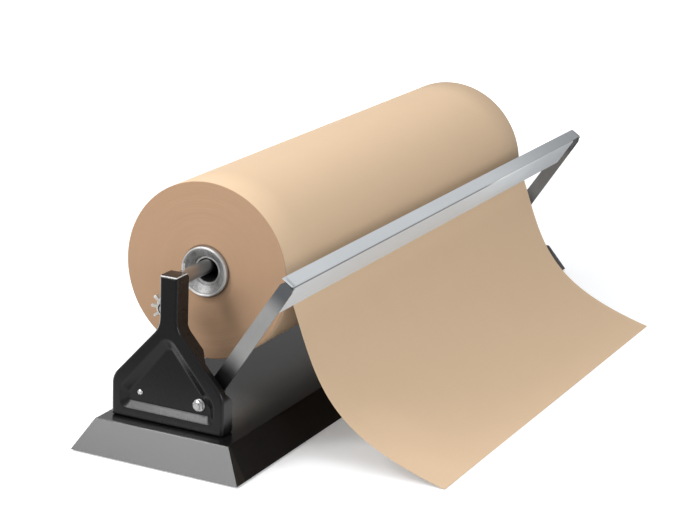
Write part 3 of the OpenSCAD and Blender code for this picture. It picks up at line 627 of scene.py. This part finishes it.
def drawn_sheet(material, reach, wave):
    """The sheet that hangs from the roll to the counter, with the slight waves of paper off a roll."""
    points, length = sheet_curve(reach)
    columns, lowest = 48, 0.05
    shape = Shape()
    faces = {1: [], -1: []}
    for i, p in enumerate(points):
        along = unit(points[min(i + 1, len(points) - 1)] - points[max(i - 1, 0)])
        out = Vector((-along.y, along.x))
        t = i / (len(points) - 1)
        for side in faces:
            row = []
            for k in range(columns + 1):
                u = k / columns
                swell = wave * t * t * (0.5 - 0.5 * math.cos(2 * math.pi * (1.5 * u + 0.1))) * (1.2 - t)
                q = p + out * (side * SHEET_T / 2 + swell)
                row.append((ROLL_X - ROLL_L / 2 + ROLL_L * u, q.x, max(q.y, lowest)))
            faces[side].append(shape.ring(row))
    for rows in faces.values():
        for a, b in zip(rows, rows[1:]):
            shape.bridge(a, b, closed=False)
    top, low = faces[1], faces[-1]
    shape.bridge(top[0], low[0], closed=False)
    shape.bridge(top[-1], low[-1], closed=False)
    for end in (0, -1):
        shape.bridge([row[end] for row in top], [row[end] for row in low], closed=False)
    piece = shape.piece("drawn_paper", material, "base", "paper_sheet", ["paper_sheet"], 50)
    length * MM


def hex_profile(angle, flats):
    """Radius of a hexagon at one angle."""
    return flats / 2 / math.cos((angle + math.pi / 6) % (math.pi / 3) - math.pi / 6)


def hex_nut(shape, x0, direction, y, z, flats, height, bore):
    """A hexagon nut along X, its outer corners chamfered, with a lock ring round its bore."""
    steps = 72
    turn = [2 * math.pi * i / steps for i in range(steps)]
    crown, lock, top = flats / 2 * 0.97, flats / 2 * 0.84, height * 0.72

    def ring(alongs, radii):
        return shape.ring((x0 + direction * along, y + r * math.cos(t), z + r * math.sin(t))
                          for t, r, along in zip(turn, radii, alongs))

    def round_ring(along, radius):
        return ring([along] * steps, [radius] * steps)

    hexes = [hex_profile(t, flats) for t in turn]
    chamfer = [(r - crown) * math.tan(math.radians(30)) for r in hexes]
    foot, head = ring(chamfer, hexes), ring([top - c for c in chamfer], hexes)
    loops = [round_ring(0, bore), round_ring(0, crown), foot, head, round_ring(top, crown),
             round_ring(top, lock), round_ring(height - 0.5, lock), round_ring(height, lock - 0.5),
             round_ring(height, bore + 0.6), round_ring(height - 0.5, bore)]
    for a, b in zip(loops, loops[1:] + loops[:1]):
        shape.bridge(a, b)


def washer(shape, x0, x1, y, z, radius, bore):
    cut = 0.3
    edge, far = cut if x1 > x0 else -cut, x1 - x0
    profile = [(0, bore), (0, radius - cut), (edge, radius),
               (far - edge, radius), (far, radius - cut), (far, bore)]
    shape.turned(profile, (x0, y, z), (1, 0, 0), 48, closed=True)


def anchor_rivet(shape, sign):
    """The rivet that a spring's rear leg pushes under: domed outside the recess, a grooved pin inside."""
    head, rise, pin, neck, end = ANCHOR_D / 2 + 0.8, 1.8, ANCHOR_D / 2, ANCHOR_D / 2 - 0.55, STAND_T + 9.0
    profile = [(-rise * math.cos(a), head * math.sin(a)) for a in (math.pi / 2 * k / 8 for k in range(1, 9))]
    profile += [(0, neck), (STAND_T, neck), (STAND_T, pin), (end - 2.4, pin), (end - 2.0, pin - 0.5),
                (end - 1.4, pin - 0.5), (end - 1.0, pin), (end - 0.4, pin), (end, pin - 0.4)]
    rings = shape.turned(profile, (sign * RECESS_FLOOR_X, ANCHOR_Y, PIVOT_Z), (-sign, 0, 0), 32)
    shape.faces += [tuple(rings[0]), tuple(rings[-1])]


def rolled_pin(shape, x):
    """A spring pin rolled from strip, upright through the shaft, with its slit and chamfered ends."""
    turn = [math.radians(a) for a in range(15, 346, 15)]

    def ring(height, outer, bore):
        loop = [(outer, t) for t in turn] + [(bore, t) for t in reversed(turn)]
        return [(x + r * math.cos(t), r * math.sin(t), SHAFT_Z + height) for r, t in loop]

    outer, tip, bore, half, lead = PIN_D / 2, PIN_D / 2 - 0.25, PIN_D / 2 - 0.6, PIN_L / 2, 0.8
    shape.tube([ring(-half, tip, bore), ring(lead - half, outer, bore),
                ring(half - lead, outer, bore), ring(half, tip, bore)])


def on_arm(x, points):
    """Points of the arms' own plane, (across, along) from the pivot, at one x."""
    lean, rise = math.sin(ARM_LEAN), math.cos(ARM_LEAN)
    return [(x, PIVOT_Y + q * rise - s * lean, PIVOT_Z + q * lean + s * rise) for q, s in points]


def folded_bar(material):
    """The cutter bar: one folded sheet, its narrow flange over the arms' tips and an ear inside each arm."""
    front, back, foot = -BAR_FRONT_Q, BAR_TOP_W - BAR_FRONT_Q, BAR_TOP - BAR_FRONT_W
    left, right = (SIDES[side] * (ARM_IN_X - notch) for side, notch in BAR_NOTCHES.items())
    under = BAR_TOP - BAR_T
    fold = corner((back, BAR_TOP), (front, BAR_TOP), (front, foot), BAR_FOLD_R, 8)
    inside = corner((back, under), (front + BAR_T, under), (front + BAR_T, foot), BAR_FOLD_R - BAR_T, 8)
    section = [(back, BAR_TOP), *fold, (front, foot), (front + 0.4, foot), (front + BAR_T, foot + 2),
               *reversed(inside), (back, under)]
    flange = [(front + BAR_FOLD_R, BAR_TOP), (front + BAR_FOLD_R, under), (back, under), (back, BAR_TOP)]
    ear_foot, ear_back = BAR_TOP - EAR_L, ARM_TIP_W / 2 - 2
    ear = [(front, ear_foot), (ear_back, ear_foot), (ear_back, BAR_TOP), (front, BAR_TOP)]
    shape = Shape()
    bays = 12
    shape.tube([on_arm(left + (right - left) * k / bays, section) for k in range(bays + 1)])
    for side, sign in SIDES.items():
        reach = ARM_IN_X - BAR_NOTCHES[side] - 1
        for plate, near, far in ((flange, reach, ARM_OUT_X), (ear, ARM_IN_X - BAR_T, ARM_IN_X)):
            shape.tube([on_arm(sign * near, plate), on_arm(sign * far, plate)])
    shape.piece("folded_bar", material, "cutter", "cutter_bar", ["cutter_bar"], 35)


def bar_rivets(material):
    """Rivets through the arms and the bar's ears, ground flush outside and domed inside."""
    shape = Shape()
    shank, head, inner_face = RIVET_D / 2, 0.9 * RIVET_D, ARM_IN_X - BAR_T
    grip, sunk = ARM_OUT_X - inner_face, 0.05
    dome = [(grip + RIVET_HEAD * math.sin(a), head * math.cos(a))
            for a in (math.pi / 16 * k for k in range(8))]
    for sign in SIDES.values():
        for s in RIVET_S:
            profile = [(sunk, shank), (grip, shank), *dome]
            rings = shape.turned(profile, on_arm(sign * ARM_OUT_X, [(0, s)])[0], (-sign, 0, 0), 32)
            shape.faces += [tuple(rings[0]), tuple(rings[-1])]
    shape.piece("bar_rivets", material, "cutter", "arm_rivets", ["arm_rivets"], 35)


def knob_radius(angle):
    """Radius of the pronged knob's outline at one angle from the middle of a prong."""
    prong, core = 1.9, 0.32 * KNOB_D
    reach = KNOB_D / 2 - prong
    angle = abs((angle + math.pi / KNOB_PRONGS) % (2 * math.pi / KNOB_PRONGS) - math.pi / KNOB_PRONGS)
    if angle < math.asin(prong / reach):
        return reach * math.cos(angle) + math.sqrt(prong ** 2 - (reach * math.sin(angle)) ** 2)
    return max(core, prong / math.sin(angle))


def pronged_knob(side, material):
    """A cast hand knob with rounded prongs, a raised boss and a countersunk bore."""
    sign = SIDES[side]
    steps = 480
    turn = [2 * math.pi * i / steps for i in range(steps)]
    star = [knob_radius(t) for t in turn]
    shape = Shape()

    def ring(along, radii):
        return shape.ring((sign * (KNOB_X - along), KEEPER_Y + r * math.cos(t), KEEPER_Z + r * math.sin(t))
                          for t, r in zip(turn, radii))

    edge, bore = 1.4, 3.05
    quarter = [math.pi / 2 * k / 4 for k in range(4, -1, -1)]
    sides = [(edge * (1 - math.cos(a)), edge * (1 - math.sin(a))) for a in quarter]
    boss = [(0, 7.4), (0.9, 6.2), (3.3, 6.0), (4, 5.3), (4, 3.7), (3.4, bore)]
    loops = [ring(0, [bore] * steps)]
    loops += [ring(depth, [r - cut for r in star]) for cut, depth in sides]
    loops += [ring(KNOB_T - depth, [r - cut for r in star]) for cut, depth in reversed(sides)]
    loops += [ring(KNOB_T + rise, [radius] * steps) for rise, radius in boss]
    for a, b in zip(loops, loops[1:] + loops[:1]):
        shape.bridge(a, b)
    node = f"{side}_keeper_knob"
    shape.piece(f"{side}_pronged_knob", material, node, node, [node], 35)


# ---- Sizes and colours that a user would change ----

class DispenserSizes(bpy.types.PropertyGroup):
    sheet_reach: bpy.props.FloatProperty(
        name="Sheet reach", default=339.0, min=250.0, max=420.0,
        description="How far in front of the shaft the sheet's free end lies, in millimetres")
    sheet_wave: bpy.props.FloatProperty(
        name="Sheet wave", description="Height of the slight waves across the sheet, in millimetres",
        default=3.0, min=0.0)
    ply_relief: bpy.props.FloatProperty(
        name="Ply relief", description="How uneven the cut edges of the plies are, in millimetres",
        default=0.08, min=0.0)
    seed: bpy.props.IntProperty(name="Seed", description="Seed of the random draws", default=7, min=0)


class DispenserColours(bpy.types.PropertyGroup):
    enamel: bpy.props.FloatVectorProperty(
        name="Enamel", description="Black enamel of the base and the stands", subtype="COLOR",
        default=(0.003, 0.003, 0.0035))
    kraft: bpy.props.FloatVectorProperty(
        name="Kraft", description="Face of the kraft paper", subtype="COLOR", default=(0.655, 0.48, 0.318))
    kraft_end: bpy.props.FloatVectorProperty(
        name="Kraft end", description="Cut edges of the wound paper", subtype="COLOR",
        default=(0.4, 0.252, 0.155))
    steel: bpy.props.FloatVectorProperty(
        name="Steel", description="Bright steel of the arms and small parts", subtype="COLOR",
        default=(0.62, 0.62, 0.615))
    bar: bpy.props.FloatVectorProperty(
        name="Bar", description="Satin sheet of the cutter bar", subtype="COLOR", default=(0.57, 0.6, 0.625))


class StudioSettings(bpy.types.PropertyGroup):
    sky: bpy.props.FloatProperty(
        name="Sky", description="Strength of the room's even light", default=0.5, min=0.0)
    top: bpy.props.FloatProperty(
        name="Top lamp", description="Power of the soft lamp overhead, in watts", default=32.0, unit="POWER")
    side: bpy.props.FloatProperty(
        name="Side lamp", description="Power of the soft lamp at the left, in watts",
        default=50.0, unit="POWER")
    front: bpy.props.FloatProperty(
        name="Front lamp", description="Power of the soft lamp in front, in watts",
        default=24.0, unit="POWER")
    edge: bpy.props.FloatProperty(
        name="Edge lamp", description="Power of the small lamp that picks out the folds, in watts",
        default=14.0, unit="POWER")
    floor_glow: bpy.props.FloatProperty(
        name="Floor glow", description="Light that the camera sees the floor give off by itself",
        default=0.38, min=0.0)


def sizes():
    return bpy.context.scene.dispenser_sizes


def tint(name):
    return tuple(getattr(bpy.context.scene.dispenser_colours, name))


# ---- Operators ----

class DISPENSER_OT_stage(bpy.types.Operator):
    """Sets the pale floor, the soft lamps, the room's light and the camera"""

    bl_idname = "dispenser.stage"
    bl_label = "Stage"

    def execute(self, context):
        studio = context.scene.studio_settings
        self.floor(studio.floor_glow)
        self.room(studio.sky)
        for name, (place, target, size) in LAMPS.items():
            self.lamp(f"{name}_lamp", place, target, size, getattr(studio, name))
        self.camera(context)
        return {"FINISHED"}

    def floor(self, glow):
        mesh = bpy.data.meshes.new("floor")
        corners = [(x * FLOOR_REACH, y * FLOOR_REACH, 0) for x, y in ((-1, -1), (1, -1), (1, 1), (-1, 1))]
        mesh.from_pydata(corners, [], [(0, 1, 2, 3)])
        floor = bpy.data.objects.new("floor", mesh)
        bpy.context.scene.collection.objects.link(floor)
        paint = Paint("pale_floor")
        direct, glossy = (paint.node("ShaderNodeLightPath", {}, {}, ray)
                          for ray in ("Is Camera Ray", "Is Glossy Ray"))
        grain = paint.noise(3, 3, 0.5)
        tone = paint.mix(grain, (0.52, 0.52, 0.52), (0.54, 0.54, 0.54))
        # painted reflection: in reflections the floor is darker than the camera sees it
        dim = paint.mix(glossy, tone, (0.2, 0.2, 0.2))
        lit = paint.node("ShaderNodeBsdfDiffuse", {}, {"Color": paint.mix(direct, dim, (0.74, 0.75, 0.765))})
        x, y, _ = paint.axes()
        far = ((x * x + y * y) ** 0.5).between(0.9, 2.6)
        # painted reflections: floor patches at the left and behind the near stand glow in reflections only,
        # to put highlights on the enamel
        mirrored = (0.15 + 0.75 * x.between(-0.78, -0.64)
                    + 1.5 * y.between(0.1, 0.16) * x.between(-0.62, -0.56))
        # painted shadow: the camera sees the floor glow less near the base's front
        clear = (((x + 0.3) ** 2 + (y + 0.25) ** 2) ** 0.5).between(0.1, 0.5)
        seen = direct * (glow * (0.6 + 0.4 * clear) + far) + glossy * mirrored
        shine = paint.node("ShaderNodeEmission", {}, {"Strength": seen})
        both = paint.node("ShaderNodeAddShader", {}, {0: lit, 1: shine})
        paint.node("ShaderNodeOutputMaterial", {}, {"Surface": both})
        mesh.materials.append(paint.material)

    def room(self, strength):
        world = bpy.data.worlds.new("studio")
        bpy.context.scene.world = world
        world.use_nodes = True
        tree = world.node_tree
        tree.nodes.clear()
        path = tree.nodes.new("ShaderNodeLightPath")
        power = tree.nodes.new("ShaderNodeMapRange")
        power.inputs["To Min"].default_value = strength
        power.inputs["To Max"].default_value = 1.0
        tree.links.new(path.outputs["Is Camera Ray"], power.inputs["Value"])
        light = tree.nodes.new("ShaderNodeBackground")
        light.inputs["Color"].default_value = (1, 1, 1, 1)
        tree.links.new(power.outputs["Result"], light.inputs["Strength"])
        tree.links.new(light.outputs["Background"], tree.nodes.new("ShaderNodeOutputWorld").inputs["Surface"])

    def lamp(self, name, place, target, size, power):
        lamp = bpy.data.lights.new(name, "AREA")
        lamp.shape = "RECTANGLE"
        lamp.size, lamp.size_y = size
        lamp.energy = power
        made = bpy.data.objects.new(name, lamp)
        made.location = place
        made.rotation_euler = (Vector(target) - Vector(place)).to_track_quat("-Z", "Y").to_euler()
        bpy.context.scene.collection.objects.link(made)

    def camera(self, context):
        yaw, pitch, roll = (math.radians(a) for a in CAMERA_TURN)
        back = Vector((math.sin(yaw) * math.cos(pitch), -math.cos(yaw) * math.cos(pitch), math.sin(pitch)))
        right = (-back).cross(Vector((0, 0, 1))).normalized()
        up = back.cross(right)
        across = math.cos(roll) * right + math.sin(roll) * up
        upright = math.cos(roll) * up - math.sin(roll) * right
        data = bpy.data.cameras.new("camera")
        data.sensor_width = SENSOR_WIDTH
        data.lens = SENSOR_WIDTH * CAMERA_FOCAL / PHOTO_WIDTH
        data.clip_end = 60.0
        made = bpy.data.objects.new("camera", data)
        bpy.context.scene.collection.objects.link(made)
        turned = Matrix((across, upright, back)).transposed().to_4x4()
        made.matrix_world = Matrix.Translation(CAMERA_PLACE) @ turned
        context.scene.camera = made
        context.scene.view_settings.view_transform = "Standard"


class DISPENSER_OT_stands(bpy.types.Operator):
    """Presses the two stands as even shells with soft folds"""

    bl_idname = "dispenser.stands"
    bl_label = "Pressed stands"

    def execute(self, context):
        material = black_enamel("stand_enamel", tint("enamel"), 0.24, 0.32, painted_light=True)
        for side in SIDES:
            pressed_stand(side, material)
        return {"FINISHED"}


class DISPENSER_OT_paper(bpy.types.Operator):
    """Winds the roll and hangs the drawn-off sheet"""

    bl_idname = "dispenser.paper"
    bl_label = "Roll and sheet"

    def execute(self, context):
        pale, end = tint("kraft"), tint("kraft_end")
        deep = scaled(pale, 0.93)
        wound_roll(kraft_roll("kraft_on_roll", pale, deep, end), sizes().ply_relief, sizes().seed)
        face = kraft_face("kraft_sheet", pale, deep, (9, 500, 500))
        drawn_sheet(face, sizes().sheet_reach, sizes().sheet_wave)
        return {"FINISHED"}


class DISPENSER_OT_fasteners(bpy.types.Operator):
    """Makes the pivot nuts and washers, the rivets and the cross pins of the shaft"""

    bl_idname = "dispenser.fasteners"
    bl_label = "Fasteners"

    def execute(self, context):
        plate = plated_steel("bright_zinc", scaled(tint("steel"), 1.15), 0.2)
        nuts = Shape()
        for sign in SIDES.values():
            face = sign * RECESS_FLOOR_X
            seat = face + sign * WASHER_T
            washer(nuts, face, seat, PIVOT_Y, PIVOT_Z, WASHER_R, NUT_BORE_R)
            hex_nut(nuts, seat, sign, PIVOT_Y, PIVOT_Z, NUT_FLATS, NUT_H, NUT_BORE_R)
        nuts.piece("pivot_lock_nuts", plate, "base", "pivot_nuts", ["pivot_nuts"], 25)
        anchors, pins = Shape(), Shape()
        for sign in SIDES.values():
            anchor_rivet(anchors, sign)
            rolled_pin(pins, sign * PIN_X)
        anchors.piece("anchor_rivets", plate, "base", "spring_anchors", ["spring_anchors"], 35)
        pins.piece("rolled_pins", plate, "base", "shaft_pins", ["shaft_pins"], 35)
        return {"FINISHED"}


class DISPENSER_OT_cutter(bpy.types.Operator):
    """Folds the cutter bar and rivets it to the arms"""

    bl_idname = "dispenser.cutter"
    bl_label = "Cutter bar"

    def execute(self, context):
        folded_bar(bar_steel("bar_sheet", tint("bar")))
        bar_rivets(arm_steel("rivet_steel", scaled(tint("steel"), 0.62)))
        return {"FINISHED"}


class DISPENSER_OT_knobs(bpy.types.Operator):
    """Casts the two pronged knobs that clamp the shaft's keepers"""

    bl_idname = "dispenser.knobs"
    bl_label = "Pronged knobs"

    def execute(self, context):
        cast = plated_steel("knob_casting", (0.66, 0.64, 0.6), 0.35)
        for side in SIDES:
            pronged_knob(side, cast)
        return {"FINISHED"}


class DISPENSER_OT_finishes(bpy.types.Operator):
    """Gives every solid that is carried over its finish"""

    bl_idname = "dispenser.finishes"
    bl_label = "Finishes of the solids"

    def execute(self, context):
        steel, enamel = tint("steel"), tint("enamel")
        pan = black_enamel("pan_enamel", enamel, 0.2, 0.25, polished=True)
        bracket = black_enamel("bracket_enamel", scaled(enamel, 1.5), 0.4, 0.4)
        fittings = plated_steel("zinc_plate", steel, 0.28)
        finishes = {
            pan: ["base_pan"],
            bracket: ["base_stiffener", "left_saddle", "right_saddle"],
            fittings: ["stand_bolts", "stand_nuts", "keeper_studs", "left_keeper", "right_keeper",
                       "pivot_bolts", "pivot_bushes"],
            moulded_rubber("foot_rubber", (0.018, 0.018, 0.018)): ["rubber_feet"],
            drawn_steel("turned_shaft", scaled(steel, 0.65), 0.25, (900, 60, 60)): ["shaft"],
            card("core_board", (0.36, 0.26, 0.17)): ["core_tube"],
            plug_casting("plug_casting", scaled(steel, 0.75)): ["left_core_plug", "right_core_plug"],
            arm_steel("arm_strip", scaled(steel, 0.6)): ["left_arm", "right_arm"],
            drawn_steel("spring_wire", (0.2, 0.2, 0.205), 0.3, (200, 200, 200)):
                ["left_spring", "right_spring"],
        }
        for material, nodes in finishes.items():
            for node in nodes:
                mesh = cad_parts[node].data
                mesh.materials.clear()
                mesh.materials.append(material)
        return {"FINISHED"}


OPERATORS = [DISPENSER_OT_stage, DISPENSER_OT_finishes, DISPENSER_OT_stands, DISPENSER_OT_paper,
             DISPENSER_OT_fasteners, DISPENSER_OT_cutter, DISPENSER_OT_knobs]


class DISPENSER_PT_panel(bpy.types.Panel):
    """Lists the steps that dress the dispenser"""

    bl_idname = "DISPENSER_PT_panel"
    bl_label = "Paper dispenser"
    bl_space_type = "VIEW_3D"
    bl_region_type = "UI"
    bl_category = "Dispenser"

    def draw(self, context):
        for group in (getattr(context.scene, name) for name in GROUPS):
            box = self.layout.box()
            for name in group.bl_rna.properties.keys():
                if name not in {"rna_type", "name"}:
                    box.prop(group, name)
        for operator in OPERATORS:
            self.layout.operator(operator.bl_idname)


GROUPS = {
    "dispenser_sizes": DispenserSizes,
    "dispenser_colours": DispenserColours,
    "studio_settings": StudioSettings,
}


def register():
    for kind in [*GROUPS.values(), *OPERATORS, DISPENSER_PT_panel]:
        bpy.utils.register_class(kind)
    for name, kind in GROUPS.items():
        setattr(bpy.types.Scene, name, bpy.props.PointerProperty(type=kind))


def unregister():
    for name in GROUPS:
        delattr(bpy.types.Scene, name)
    for kind in reversed([*GROUPS.values(), *OPERATORS, DISPENSER_PT_panel]):
        bpy.utils.unregister_class(kind)


def main():
    register()
    for operator in OPERATORS:
        family, name = operator.bl_idname.split(".")
        getattr(getattr(bpy.ops, family), name)()


if __name__ == "__main__":
    main()
